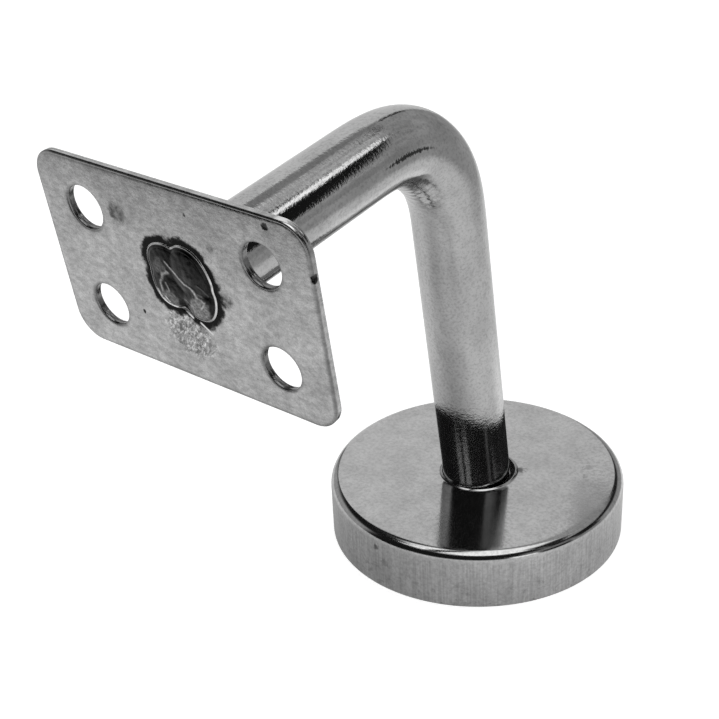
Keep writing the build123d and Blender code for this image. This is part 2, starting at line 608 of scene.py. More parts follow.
# %% Puddles and strokes of the weld
# Each puddle has its middle, its reach and its height, and the pit its depth instead.
puddles = [
    (-3.3, 4.2, 4.2, 0.50),
    (3.4, 3.6, 5.0, 0.80),
    (-3.2, -1.6, 4.4, 0.62),
    (4.0, -2.6, 4.2, 0.66),
    (3.1, 3.1, 2.0, 0.90),
]
pit = (0.6, -3.5, 1.2, 0.35)
# Each stroke has its line, half its width, how much brighter it is painted, partly as cleaner metal
# and partly as a painted highlight, and how high it stands.
strokes = [
    ([(-2.2, 4.7), (-0.9, 3.4), (0.3, 2.4), (1.7, 1.3), (3.6, 0.8)], 0.24, 0.42, 0.05),
    ([(3.5, 0.6), (4.1, -0.7), (5.7, -1.2)], 0.36, 0.44, 0.05),
    ([(5.8, -1.3), (5.2, -2.4), (4.6, -2.9)], 0.18, 0.50, 0.04),
    ([(-2.3, 2.6), (-3.6, 1.8), (-4.5, 0.2), (-4.4, -1.9)], 0.32, 0.34, 0.05),
    ([(-3.2, 0.2), (-2.7, -1.0), (-2.9, -2.2)], 0.22, 0.26, 0.04),
    ([(-5.9, -2.3), (-5.4, -3.6), (-4.0, -4.5), (-1.9, -4.9)], 0.46, 0.98, 0.03),
    ([(-4.2, -2.9), (-3.3, -3.8)], 0.14, 0.80, 0.02),
    ([(-4.6, -3.4), (-4.1, -3.9)], 0.11, 0.70, 0.02),
    ([(0.7, -2.3), (1.4, -2.6)], 0.20, 0.20, 0.05),
    ([(5.1, 1.9), (6.2, 1.3), (7.0, 0.2)], 0.20, 0.08, 0.05),
]
# Each patch has its middle, its reach and how much brighter it is painted, partly as cleaner metal
# and partly as a painted reflection.
bright_patches = [
    (4.3, -3.2, 2.7, 0.24),
    (4.7, -1.2, 1.5, 0.20),
    (-3.0, -3.2, 2.3, 0.15),
    (-4.1, 3.2, 1.9, 0.09),
    (3.1, 3.1, 1.9, 0.035),
    (-1.0, -1.4, 2.0, 0.03),
]


def near_line(x, z, line):
    """Distance from a point to a bent line."""
    best = 99.0
    for (ax, az), (bx, bz) in zip(line, line[1:]):
        length = (bx - ax) ** 2 + (bz - az) ** 2
        share = min(max(((x - ax) * (bx - ax) + (z - az) * (bz - az)) / length, 0), 1)
        best = min(best, math.dist((x, z), (ax + share * (bx - ax), az + share * (bz - az))))
    return best


def weld_shine_and_highlight(x, z):
    """How bright a place of the weld is painted, from 0 to 1: partly cleaner metal, partly painted
    highlights.
    """
    shine_and_highlight = 0.022 + 0.012 * rough_noise(x * 0.8, z * 0.8, seed=51.0)
    for middle_x, middle_z, reach, brightened in bright_patches:
        away = math.dist((x, z), (middle_x, middle_z)) / reach
        away *= 1 + 0.3 * rough_noise(x * 0.9, z * 0.9, seed=57.0)
        mottled = 1 + 0.6 * rough_noise(x * 1.7, z * 1.7, seed=61.0)
        shine_and_highlight = max(shine_and_highlight, brightened * mottled * (1 - ease(away, 0.7, 1.05)))
    for line, half_width, brightened, raised in strokes:
        wander = 0.22 * rough_noise(x * 0.8, z * 0.8, seed=67.0)
        across = near_line(x + wander, z - wander, line) / half_width
        shine_and_highlight = max(shine_and_highlight, brightened * math.exp(-across * across))
    return shine_and_highlight


# %% Height of the weld over the plate's face
blend_sharpness = 14
bead_height = 0.20
tallest = 0.98


def weld_height(x, z, inside):
    """Height in millimetres of the frozen puddles, inside mm from the rim."""
    blend = 0.0
    for middle_x, middle_z, size, height in puddles:
        away = min(math.dist((x, z), (middle_x, middle_z)) / size, 1.0)
        blend += math.exp(blend_sharpness * height * math.sqrt(1 - away * away))
    dome = math.log(blend) / blend_sharpness
    dome = 0.10 + 0.72 * dome + 0.035 * rough_noise(x * 0.9, z * 0.9, seed=41.0)
    for line, half_width, brightened, raised in strokes:
        across = near_line(x, z, line) / (1.3 * half_width)
        dome += raised * math.exp(-across * across)
    dome -= pit[3] * math.exp(-((math.dist((x, z), pit[:2]) / pit[2]) ** 2))
    bead = bead_height * ease(inside, 0.0, 0.25) * (1 - 0.55 * ease(inside, 0.25, 0.6))
    filled = ease(inside, 0.15, 1.1)
    thinnest = 0.03 * ease(inside, 0, 0.1)
    return min(max(bead * (1 - filled) + filled * dome, thinnest), tallest)


well_inside = 7.0
print("height at the weld's middle", round(weld_height(*weld_middle, well_inside), 2), "mm")

# %% The weld's mesh
weld_around = 240
row_count = 70
weld_rows = [1 - (step / row_count) ** 1.6 for step in range(row_count)]
weld_points = []
weld_grain = []
weld_rim = []
for share in weld_rows:
    for step in range(weld_around):
        angle = 2 * math.pi * step / weld_around
        reach = weld_reach(angle)
        x = weld_middle[0] + share * reach * math.cos(angle)
        z = weld_middle[1] + share * reach * math.sin(angle)
        height = weld_height(x, z, reach * (1 - share))
        weld_points.append(leaned(x, saddle_front - height, leg_length + z))
        weld_grain.append((x, z, height))
        weld_rim.append(reach * (1 - share))
weld_faces = ring_faces(len(weld_rows), weld_around)
crown = len(weld_points)
crown_height = weld_height(*weld_middle, well_inside)
weld_points.append(
    leaned(weld_middle[0], saddle_front - crown_height, leg_length + weld_middle[1])
)
weld_grain.append((*weld_middle, crown_height))
weld_rim.append(well_inside)
print("puddles", len(weld_points), "points")

# %% Close the weld behind with its plug
last = crown - weld_around
weld_faces += [(last + step, last + (step + 1) % weld_around, crown) for step in range(weld_around)]
rim_row = list(range(weld_around))
plug_radius = weld_plug_radius - 0.1
for depth in (0.0, saddle_thickness):
    row = []
    for step in range(weld_around):
        angle = 2 * math.pi * step / weld_around
        x, z = plug_radius * math.cos(angle), plug_radius * math.sin(angle)
        row.append(len(weld_points))
        weld_points.append(leaned(x, saddle_front + depth, leg_length + z))
        weld_grain.append((x, z, -depth))
        weld_rim.append(well_inside)
    for step in range(weld_around):
        after = (step + 1) % weld_around
        weld_faces.append((rim_row[step], row[step], row[after], rim_row[after]))
    rim_row = row
weld_faces.append(tuple(rim_row))
weld_bead = make_piece("weld_bead", weld_points, weld_faces, weld_grain)
tell_points(weld_bead, "from_rim", weld_rim)
# How bright each place is painted: partly cleaner metal, partly painted highlights.
tell_points(weld_bead, "shine_and_highlight", [weld_shine_and_highlight(x, z) for x, z, height in weld_grain])
print("weld", len(weld_points), "points")

# %% [markdown]
# ## Finishes
# Bare steel has hardly any colour of its own: it shows its surroundings, and what tells one
# finish from another is how even the mirror is. So each finish here is a fully metallic
# shader with a plain grey, and the work is in three things that vary over the metal: a slight
# change of the grey, of the roughness, and of the surface's tilt through bump. All of them come
# from noise textures that read the grain attribute, so their scale is in millimetres.

# %% Helpers for finishes
def new_finish(name):
    """New material with its node tree and its shader, fully metallic."""
    material = bpy.data.materials.new(name)
    material.use_nodes = True
    shader = material.node_tree.nodes["Principled BSDF"]
    shader.inputs["Metallic"].default_value = 1.0
    return material, material.node_tree, shader


def add_node(tree, kind, **settings):
    """New node with its settings."""
    node = tree.nodes.new(kind)
    for name, value in settings.items():
        setattr(node, name, value)
    return node


def feed(tree, target, value):
    """Joins a socket to an input, or sets the input to a number."""
    if isinstance(value, bpy.types.NodeSocket):
        tree.links.new(value, target)
    else:
        target.default_value = value


def reckon(tree, operation, *values):
    """Math node with these values or sockets."""
    node = add_node(tree, "ShaderNodeMath", operation=operation)
    for target, value in zip(node.inputs, values):
        feed(tree, target, value)
    return node.outputs[0]


def carried(tree, name, output="Fac"):
    """What a piece's points carry under this name."""
    return add_node(tree, "ShaderNodeAttribute", attribute_name=name).outputs[output]


def speckle(tree, source, stretch, detail=2.0, roughness=0.5):
    """Noise between 0 and 1. stretch says how many grains lie in a millimetre each way."""
    scaled = add_node(tree, "ShaderNodeVectorMath", operation="MULTIPLY")
    feed(tree, scaled.inputs[0], source)
    scaled.inputs[1].default_value = stretch
    texture = add_node(tree, "ShaderNodeTexNoise")
    feed(tree, texture.inputs["Vector"], scaled.outputs[0])
    texture.inputs["Scale"].default_value = 1.0
    texture.inputs["Detail"].default_value = detail
    texture.inputs["Roughness"].default_value = roughness
    return texture.outputs["Fac"]


def between(tree, value, low, high, at_low, at_high):
    """Smooth change from at_low to at_high while value goes from low to high."""
    node = add_node(tree, "ShaderNodeMapRange", interpolation_type="SMOOTHSTEP")
    for target, number in zip(node.inputs, (value, low, high, at_low, at_high)):
        feed(tree, target, number)
    return node.outputs[0]


def tilt(tree, height, depth, under=None):
    """Bump of this depth in millimetres, on top of another one."""
    node = add_node(tree, "ShaderNodeBump")
    node.inputs["Distance"].default_value = depth * MM
    feed(tree, node.inputs["Height"], height)
    if under is not None:
        feed(tree, node.inputs["Normal"], under)
    return node.outputs["Normal"]


def grey(tree, value):
    """Colour of this one brightness."""
    node = add_node(tree, "ShaderNodeCombineColor")
    for target in node.inputs[:3]:
        feed(tree, target, value)
    return node.outputs[0]


# %% [markdown]
# ### Drawn bar
# A drawn bar is bright, with long fine lines from the die and a faint ripple across it where
# the bender's rollers gripped. Under a lamp the ripple breaks the edge of a reflection into
# small teeth. A brushed look through anisotropy would smear the teeth away, so the ripple and
# the lines are separate bumps, each a few hundredths of a millimetre deep or less. A thin dark
# streak is painted into the side of the bend, and the arm's underside carries painted shade
# that stands in for the dark things it mirrors.

# %% Finish of the bar
drawn_bar, tree, shader = new_finish("drawn_bar")
grain = carried(tree, "grain", "Vector")
ripple = speckle(tree, grain, (0.9, 0.9, 1.6), 3.0, 0.55)
die_lines = speckle(tree, grain, (2.6, 2.6, 0.05), 2.0)
pits = speckle(tree, grain, (1.7, 1.7, 1.7), 3.0, 0.6)
clouds = speckle(tree, grain, (0.22, 0.22, 0.10), 3.0)
place = add_node(tree, "ShaderNodeSeparateXYZ")
feed(tree, place.inputs[0], grain)
outward, sideways, along = place.outputs["X"], place.outputs["Y"], place.outputs["Z"]
shade = between(tree, clouds, 0.3, 0.7, 0.45, 0.53)
shade = reckon(tree, "MULTIPLY", shade, between(tree, pits, 0.25, 0.60, 0.80, 1.08))


def dark_streak(out_by, half_width, start, end, teeth):
    """Streak along the bar's +X side that teeth of the ripple fray, from 0 to 1."""
    ragged = between(tree, teeth, 0.35, 0.65, -0.6 * half_width, 0.6 * half_width)
    off = reckon(tree, "ABSOLUTE", reckon(tree, "SUBTRACT", outward, out_by))
    off = reckon(tree, "ADD", off, ragged)
    middle = reckon(tree, "ABSOLUTE", reckon(tree, "SUBTRACT", along, (start + end) / 2))
    thin = between(tree, middle, 0.0, (end - start) / 2, half_width, 0.0)
    inside = between(tree, reckon(tree, "SUBTRACT", off, thin), -0.15, 0.15, 1.0, 0.0)
    inside = reckon(tree, "MULTIPLY", inside, between(tree, sideways, 4.0, 6.0, 0.0, 1.0))
    return reckon(tree, "MULTIPLY", inside, between(tree, thin, 0.0, 0.25, 0.0, 1.0))


# A thin dark streak painted along the +X side of the bend.
side_streak = dark_streak(1.25, 0.40, 107.0, 130.0, speckle(tree, grain, (0.6, 0.6, 3.2), 3.0, 0.6))
# Painted shade: the arm's underside is darkened, standing in for the dark things it mirrors.
on_arm = between(tree, along, 104.0, 116.0, 0.0, 1.0)
swirl = speckle(tree, grain, (0.30, 0.30, 0.16), 3.0, 0.6)
under = reckon(tree, "ADD", outward, between(tree, swirl, 0.3, 0.7, -0.35, 0.35))
under = reckon(tree, "MULTIPLY", between(tree, under, -4.6, -3.9, 1.0, 0.0), on_arm)
# Both darken the bar's grey: the painted streak and the painted shade of the underside.
for darkening, depth in ((side_streak, 0.12), (under, 0.10)):
    shade = reckon(tree, "MULTIPLY", shade, between(tree, darkening, 0.0, 1.0, 1.0, depth))
feed(tree, shader.inputs["Base Color"], grey(tree, shade))
feed(tree, shader.inputs["Roughness"], between(tree, pits, 0.3, 0.7, 0.10, 0.055))
skin = tilt(tree, ripple, 0.022)
skin = tilt(tree, die_lines, 0.004, skin)
skin = tilt(tree, pits, 0.019, skin)
feed(tree, shader.inputs["Normal"], skin)
print("bar finish has", len(tree.nodes), "nodes")

# %% [markdown]
# ### Pressed cover
# The press leaves the top of the cover with the even, cloudy skin of the sheet. On the wall
# the metal has been drawn down past the die, which leaves fine upright lines, so a second bump
# is stretched along the height and fades out towards the top.

# %% Finish of the cover
pressed_sheet, tree, shader = new_finish("pressed_sheet")
grain = carried(tree, "grain", "Vector")
height = add_node(tree, "ShaderNodeSeparateXYZ")
feed(tree, height.inputs[0], grain)
wall_fades = (cover_height - 3.2, cover_height - 2.0)
on_wall = between(tree, height.outputs["Z"], *wall_fades, 1.0, 0.0)
skin_grain = speckle(tree, grain, (1.3, 1.3, 1.3), 4.0, 0.65)
draw_lines = speckle(tree, grain, (2.2, 2.2, 0.08), 2.0)
clouds = speckle(tree, grain, (0.16, 0.16, 0.16), 3.0)
dirt = speckle(tree, grain, (0.40, 0.40, 0.55), 4.0, 0.68)
low_down = between(tree, height.outputs["Z"], 1.5, 9.0, 1.0, 0.25)
low_down = reckon(tree, "MULTIPLY", low_down, on_wall)
dirt = reckon(tree, "MULTIPLY", between(tree, dirt, 0.54, 0.70, 0.0, 0.38), low_down)
lined = reckon(tree, "MULTIPLY", between(tree, draw_lines, 0.3, 0.7, -0.10, 0.10), on_wall)
shade = between(tree, clouds, 0.3, 0.7, 0.50, 0.58)
shade = reckon(tree, "MULTIPLY", shade, between(tree, skin_grain, 0.3, 0.65, 0.86, 1.08))
shade = reckon(tree, "MULTIPLY", shade, reckon(tree, "SUBTRACT", 1.0, dirt))
shade = reckon(tree, "MULTIPLY", shade, reckon(tree, "ADD", 1.0, lined))


def stain_spot(x, y, z, reach, strength):
    """Share of the shade that is left at a small stain of the cover, sizes in millimetres."""
    away = add_node(tree, "ShaderNodeVectorMath", operation="DISTANCE")
    feed(tree, away.inputs[0], grain)
    away.inputs[1].default_value = (x, y, z)
    ragged = between(tree, skin_grain, 0.3, 0.7, 0.7, 1.4)
    frayed = reckon(tree, "MULTIPLY", away.outputs["Value"], ragged)
    return between(tree, frayed, 0.4 * reach, reach, 1.0 - strength, 1.0)


# Each stain has its place, its reach and its strength.
stains = [
    (8.3, 4.2, cover_height, 1.5, 0.65),
    (20.9, 14.8, cover_height, 1.8, 0.25),
    (22.3, 11.0, cover_height, 1.0, 0.25),
    (-3.4, -36.0, 10.4, 1.0, 0.60),
    (-1.0, -36.0, 7.0, 1.3, 0.25),
]
for darkening in stains:
    shade = reckon(tree, "MULTIPLY", shade, stain_spot(*darkening))
feed(tree, shader.inputs["Base Color"], grey(tree, shade))
feed(tree, shader.inputs["Roughness"], between(tree, skin_grain, 0.3, 0.7, 0.16, 0.10))
skin = tilt(tree, skin_grain, 0.006)
skin = tilt(tree, reckon(tree, "MULTIPLY", draw_lines, on_wall), 0.010, skin)
feed(tree, shader.inputs["Normal"], skin)
print("cover finish has", len(tree.nodes), "nodes")

# %% [markdown]
# ### Mill sheet of the saddle
# The plate is left as it came from the mill: a mottled, slightly rough skin with small dark
# pits and stains. The arc has burned a dark ragged ring round the weld, a tool has scribbled
# over a patch below it, and the edges that the shears and the punch rolled carry painted shade,
# while the outer wall is painted lighter and one upper corner of it carries a painted highlight.
# These places come from numbers that the plate's points carry, and noise frays their borders.
# Two scratches are drawn straight in the nodes, because they are finer than the plate's triangles.

# %% Skin of the plate and the burned ring
mill_sheet, tree, shader = new_finish("mill_sheet")
grain = carried(tree, "grain", "Vector")
mottle = speckle(tree, grain, (0.55, 0.8, 0.6), 5.0, 0.68)
skin_grain = speckle(tree, grain, (2.6, 2.6, 2.6), 3.0, 0.6)
clouds = speckle(tree, grain, (0.11, 0.11, 0.11), 2.0)
pits = speckle(tree, grain, (1.1, 1.1, 1.1), 2.0)
shade = between(tree, clouds, 0.3, 0.7, 0.50, 0.62)
shade = reckon(tree, "MULTIPLY", shade, between(tree, mottle, 0.3, 0.7, 0.74, 1.16))
shade = reckon(tree, "MULTIPLY", shade, between(tree, skin_grain, 0.3, 0.7, 0.86, 1.10))
shade = reckon(tree, "MULTIPLY", shade, between(tree, pits, 0.20, 0.27, 0.60, 1.0))
frayed = speckle(tree, grain, (0.9, 0.9, 0.9), 5.0, 0.62)
uneven = speckle(tree, grain, (0.22, 0.22, 0.22), 1.0)
ragged = between(tree, frayed, 0.2, 0.8, -0.45, 0.45)
reach = reckon(tree, "ADD", carried(tree, "beyond_weld"), ragged)
reach = reckon(tree, "ADD", reach, between(tree, uneven, 0.3, 0.7, -0.4, 0.4))
burn_fades, burn_ends = 0.7, 2.1
burned = between(tree, reach, burn_fades, burn_ends, 1.0, 0.0)
print("burned ring ends", burn_ends, "mm from the weld")

# %% Grime and scribbles of the plate
grime = between(tree, carried(tree, "grime"), 0.08, 0.9, 0.0, 1.0)
grime = reckon(tree, "MULTIPLY", grime, between(tree, frayed, 0.35, 0.60, 1.4, 0.75))
grime = reckon(tree, "MINIMUM", grime, 1.0)
slanted = add_node(tree, "ShaderNodeVectorRotate", rotation_type="Z_AXIS")
feed(tree, slanted.inputs["Vector"], grain)
slanted.inputs["Angle"].default_value = math.radians(35.0)
scribble = speckle(tree, slanted.outputs[0], (1.15, 0.38, 0.6), 3.0, 0.6)
off_line = reckon(tree, "ABSOLUTE", reckon(tree, "SUBTRACT", scribble, 0.5))
scribbled = between(tree, off_line, 0.0, 0.06, 1.45, 0.70)
scribbled = reckon(tree, "MULTIPLY", scribbled, between(tree, frayed, 0.40, 0.56, 0.48, 1.18))
scuffed = carried(tree, "scuffed")
shade = reckon(tree, "MULTIPLY", shade, between(tree, scuffed, 0.0, 1.0, 1.0, scribbled))
# Painted shade: the rolled edges are darkened, standing in for the darker room that they mirror.
painted_edge_shade = between(tree, carried(tree, "from_edge"), 0.0, 0.9, 0.45, 1.0)
for darkening in (burned, grime):
    shade = reckon(tree, "MULTIPLY", shade, between(tree, darkening, 0.0, 1.0, 1.0, 0.02))
shade = reckon(tree, "MULTIPLY", shade, painted_edge_shade)
print("plate finish has", len(tree.nodes), "nodes so far")

# %% Scratches and shader of the plate
place = add_node(tree, "ShaderNodeSeparateXYZ")
feed(tree, place.inputs[0], grain)


def scratch(start, end, half_width):
    """1 on a straight scratch between two places of the face, in millimetres, and 0 off it."""
    length = math.dist(start, end)
    along_x, along_z = (end[0] - start[0]) / length, (end[1] - start[1]) / length
    from_x = reckon(tree, "SUBTRACT", place.outputs["X"], start[0])
    from_z = reckon(tree, "SUBTRACT", place.outputs["Y"], start[1])
    along = reckon(
        tree,
        "ADD",
        reckon(tree, "MULTIPLY", from_x, along_x),
        reckon(tree, "MULTIPLY", from_z, along_z),
    )
    across = reckon(
        tree,
        "SUBTRACT",
        reckon(tree, "MULTIPLY", from_x, along_z),
        reckon(tree, "MULTIPLY", from_z, along_x),
    )
    narrow = between(tree, reckon(tree, "ABSOLUTE", across), 0.5 * half_width, half_width, 1.0, 0.0)
    middle = reckon(tree, "ABSOLUTE", reckon(tree, "SUBTRACT", along, length / 2))
    inside = between(tree, middle, length / 2 - 0.5, length / 2, 1.0, 0.0)
    return reckon(tree, "MULTIPLY", narrow, inside)


# Painted highlight: the upper corner's sheared wall is made bright in colour.
corner_highlight_shade, scratch_shade = 0.95, 0.85
corner_highlight = reckon(tree, "MULTIPLY", carried(tree, "corner_highlight"), corner_highlight_shade)
shade = reckon(tree, "MAXIMUM", shade, corner_highlight)
first_scratch = scratch((-1.0, -4.4), (1.6, -6.3), 0.34)
second_scratch = scratch((2.7, -6.4), (5.9, -8.5), 0.30)
bright_scratch = reckon(tree, "MAXIMUM", first_scratch, second_scratch)
shade = reckon(tree, "MAXIMUM", shade, reckon(tree, "MULTIPLY", bright_scratch, scratch_shade))
feed(tree, shader.inputs["Base Color"], grey(tree, shade))
dull = reckon(tree, "MAXIMUM", burned, grime)
dull = reckon(tree, "MULTIPLY", dull, reckon(tree, "SUBTRACT", 1.0, bright_scratch))
feed(tree, shader.inputs["Roughness"], between(tree, dull, 0.0, 1.0, 0.20, 0.55))
skin = tilt(tree, mottle, 0.030)
skin = tilt(tree, skin_grain, 0.008, skin)
skin = tilt(tree, reckon(tree, "MULTIPLY", scribble, scuffed), 0.10, skin)
feed(tree, shader.inputs["Normal"], skin)
print("plate finish has", len(tree.nodes), "nodes")

# %% [markdown]
# ### Weld metal
# Frozen weld metal is smooth but oxidised, so it mirrors darkly. The rim that froze last is
# thin and carries a painted highlight, and the crests where one puddle ran over another are
# painted brighter: partly cleaner metal, partly painted highlights. The points of the weld
# carry how bright each place is painted, and how far it lies from the rim.

# %% Finish of the weld
weld_metal, tree, shader = new_finish("weld_metal")
grain = carried(tree, "grain", "Vector")
scale_film = speckle(tree, grain, (0.5, 0.5, 0.5), 3.0, 0.6)
skin_grain = speckle(tree, grain, (2.2, 2.2, 2.2), 3.0, 0.6)
specks = between(tree, skin_grain, 0.3, 0.7, 0.6, 1.4)
# Painted highlights and cleaner metal along the strokes and patches.
shade = reckon(tree, "MULTIPLY", carried(tree, "shine_and_highlight"), specks)
# Painted highlight: a bright line along the weld's rim, whatever the slope.
rim_brightness = between(tree, scale_film, 0.35, 0.6, 0.50, 0.85)
rim = between(tree, carried(tree, "from_rim"), 0.18, 0.40, 1.0, 0.0)
shade = reckon(tree, "MAXIMUM", shade, reckon(tree, "MULTIPLY", rim, rim_brightness))
feed(tree, shader.inputs["Base Color"], grey(tree, shade))
feed(tree, shader.inputs["Roughness"], between(tree, scale_film, 0.3, 0.7, 0.14, 0.24))
skin = tilt(tree, scale_film, 0.05)
skin = tilt(tree, skin_grain, 0.005, skin)
feed(tree, shader.inputs["Normal"], skin)
print("weld finish has", len(tree.nodes), "nodes")

# %% [markdown]
# ### Turned flange and ground weld
# The flange under the cover comes from the CAD model as it is. A lathe leaves fine rings on its
# face, so its finish reads the distance from the middle. The weld in its bore is ground flush,
# with short straight scratches. CAD nodes carry no grain attribute, so these two finishes read
# the place itself, in metres, and their grains are counted in a metre.

# %% Finishes of the flange and of the ground weld
turned_plate, tree, shader = new_finish("turned_plate")
spot = add_node(tree, "ShaderNodeTexCoord").outputs["Object"]
radial = add_node(tree, "ShaderNodeVectorMath", operation="MULTIPLY")
feed(tree, radial.inputs[0], spot)
radial.inputs[1].default_value = (1.0, 1.0, 0.0)
from_middle = add_node(tree, "ShaderNodeVectorMath", operation="LENGTH")
feed(tree, from_middle.inputs[0], radial.outputs[0])
ring_place = add_node(tree, "ShaderNodeCombineXYZ")
feed(tree, ring_place.inputs["X"], from_middle.outputs["Value"])
tool_rings = speckle(tree, ring_place.outputs[0], (4000, 1, 1), 2.0)
handling = speckle(tree, spot, (350, 350, 350), 4.0, 0.6)
feed(tree, shader.inputs["Base Color"], grey(tree, between(tree, handling, 0.3, 0.7, 0.44, 0.54)))
feed(tree, shader.inputs["Roughness"], between(tree, handling, 0.3, 0.7, 0.30, 0.20))
feed(tree, shader.inputs["Normal"], tilt(tree, tool_rings, 0.006))

ground_weld, tree, shader = new_finish("ground_weld")
spot = add_node(tree, "ShaderNodeTexCoord").outputs["Object"]
scratches = speckle(tree, spot, (300, 4000, 300), 2.0)
film = speckle(tree, spot, (500, 500, 500), 3.0)
feed(tree, shader.inputs["Base Color"], grey(tree, between(tree, film, 0.3, 0.7, 0.30, 0.50)))
feed(tree, shader.inputs["Roughness"], between(tree, film, 0.3, 0.7, 0.42, 0.30))
feed(tree, shader.inputs["Normal"], tilt(tree, scratches, 0.01))

# %% [markdown]
# ## Put the pieces on their bodies
# Each new piece stands for the CAD node of the same part, takes the record's material slot and
# rides on that node's body. The cover is loose on the bar, so it rides on its own body and
# slides up the leg. The flange and its ground weld stay as CAD nodes and only get a finish.

# %% Pieces, finishes and bodies
dressed = [
    (bar_skin, "bent_bar", "bracket", "drawn_bar", drawn_bar),
    (saddle_sheet, "saddle_plate", "bracket", "mill_sheet", mill_sheet),
    (weld_bead, "saddle_weld", "bracket", "weld_metal", weld_metal),
    (cover_cap, "cover_rose", "cover", "pressed_sheet", pressed_sheet),
]
for piece, node, body, slot, finish in dressed:
    piece.data.materials.append(finish)
    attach(piece, body)
    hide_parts(node)
for node, finish in (("wall_flange", turned_plate), ("wall_weld", ground_weld)):
    for material_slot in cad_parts[node].material_slots:
        material_slot.material = finish
print("dressed", [entry[0].name for entry in dressed])

# %% [markdown]
# ## The floor
# The photograph's ground is plain white. The floor is a diffuse white card whose brightness for
# the camera is lifted to white through Light Path, so that it stays white where the studio is
# dim and still takes the bracket's shadow. A polished bar shows the table that it stands on, and
# a real table is never lit evenly. So mirror rays see it painted: a pale grey, with darker
# pools where the bracket and the photographer shade it, a brighter one behind the bracket, and
# a whole side that lies in shade.

# %% Floor
floor_reach = 1.6
corners = [(x * floor_reach, y * floor_reach, 0.0) for x, y in ((-1, -1), (1, -1), (1, 1), (-1, 1))]
sheet = bpy.data.meshes.new("floor")
sheet.from_pydata(corners, [], [(0, 1, 2, 3)])
floor = bpy.data.objects.new("floor", sheet)
bpy.context.scene.collection.objects.link(floor)
card = bpy.data.materials.new("floor_card")
card.use_nodes = True
tree = card.node_tree
tree.nodes.clear()
floor_spot = add_node(tree, "ShaderNodeTexCoord").outputs["Object"]


def pool(middle_x, middle_y, reach, change):
    """Round soft patch of the floor's mirrored brightness, sizes in millimetres."""
    away = add_node(tree, "ShaderNodeVectorMath", operation="DISTANCE")
    feed(tree, away.inputs[0], floor_spot)
    away.inputs[1].default_value = (middle_x * MM, middle_y * MM, 0.0)
    return between(tree, away.outputs["Value"], 0.0, reach * MM, change, 0.0)


# Each pool has its middle, its reach and how much it changes the brightness.
pools = [
    pool(-7, -2, 75, -0.60),
    pool(10, -56, 54, -0.12),
    pool(-33, -98, 86, -0.24),
    pool(26, 68, 52, 0.26),
    pool(56, -91, 59, -0.15),
    pool(-200, -275, 120, -0.80),
    pool(-100, -275, 120, -0.80),
]
sideways = add_node(tree, "ShaderNodeVectorMath", operation="DOT_PRODUCT")
feed(tree, sideways.inputs[0], floor_spot)
sideways.inputs[1].default_value = (0.74, 0.67, 0.0)
shaded_side = between(tree, sideways.outputs["Value"], 130 * MM, 260 * MM, 0.0, -0.36)
table_brightness = 0.77
mirrored = reckon(tree, "ADD", table_brightness, shaded_side)
for change in pools:
    mirrored = reckon(tree, "ADD", mirrored, change)
paper = add_node(tree, "ShaderNodeBsdfDiffuse")
paper.inputs["Color"].default_value = (0.8, 0.8, 0.8, 1.0)
lifted_by = 0.80
glow = add_node(tree, "ShaderNodeEmission")
ray = add_node(tree, "ShaderNodeLightPath")
lift = reckon(tree, "MAXIMUM", ray.outputs["Is Camera Ray"], ray.outputs["Is Transmission Ray"])
feed(tree, glow.inputs["Strength"], reckon(tree, "MULTIPLY", lift, lifted_by))
both = add_node(tree, "ShaderNodeAddShader")
feed(tree, both.inputs[0], paper.outputs[0])
feed(tree, both.inputs[1], glow.outputs[0])
painted = add_node(tree, "ShaderNodeEmission")
feed(tree, painted.inputs["Strength"], mirrored)
chosen = add_node(tree, "ShaderNodeMixShader")
feed(tree, chosen.inputs[0], ray.outputs["Is Glossy Ray"])
feed(tree, chosen.inputs[1], both.outputs[0])
feed(tree, chosen.inputs[2], painted.outputs[0])
output = add_node(tree, "ShaderNodeOutputMaterial")
feed(tree, output.inputs["Surface"], chosen.outputs[0])
floor.data.materials.append(card)
print("floor", round(2 * floor_reach, 1), "m wide,", len(pools), "pools")

# %% [markdown]
# ## Grey cards near the arm
# The black streak along the arm is an unlit part of the room, and it runs out before the bend.
# A grey card that stands close beside the bracket makes such an end: near the bend it covers
# the dark part of the room, and towards the saddle it no longer does, because its upper edge
# slopes down. A second card behind the bracket does the same for the bend. Only mirror rays
# see the cards.

# %% Grey cards
card_paint = bpy.data.materials.new("card_paint")
card_paint.use_nodes = True
tree = card_paint.node_tree
tree.nodes.clear()
glow = add_node(tree, "ShaderNodeEmission")
card_spot = add_node(tree, "ShaderNodeTexCoord").outputs["Object"]
card_clouds = speckle(tree, card_spot, (24, 24, 24), 4.0, 0.62)
feed(tree, glow.inputs["Strength"], between(tree, card_clouds, 0.3, 0.7, 0.30, 0.46))
output = add_node(tree, "ShaderNodeOutputMaterial")
feed(tree, output.inputs["Surface"], glow.outputs[0])


def grey_card(name, outline):
    """Flat card through these places, in millimetres, that only mirror rays see."""
    mesh = bpy.data.meshes.new(name)
    corners = [[value * MM for value in place] for place in outline]
    mesh.from_pydata(corners, [], [range(len(corners))])
    mesh.materials.append(card_paint)
    piece = bpy.data.objects.new(name, mesh)
    bpy.context.scene.collection.objects.link(piece)
    piece.visible_camera = False
    piece.visible_diffuse = False
    piece.visible_transmission = False
    piece.visible_shadow = False


card_distance = 150
side_outline = [(30, 120), (96, 214), (210, 385), (210, 190), (95, 150)]
grey_card("side_card", [(card_distance, y, z) for y, z in side_outline])
back_outline = [(-66, 125), (40, 125), (110, 150), (110, 350), (-66, 350)]
grey_card("back_card", [(x, card_distance, z) for x, z in back_outline])
print("grey cards stand", card_distance, "mm beside and behind the bracket")

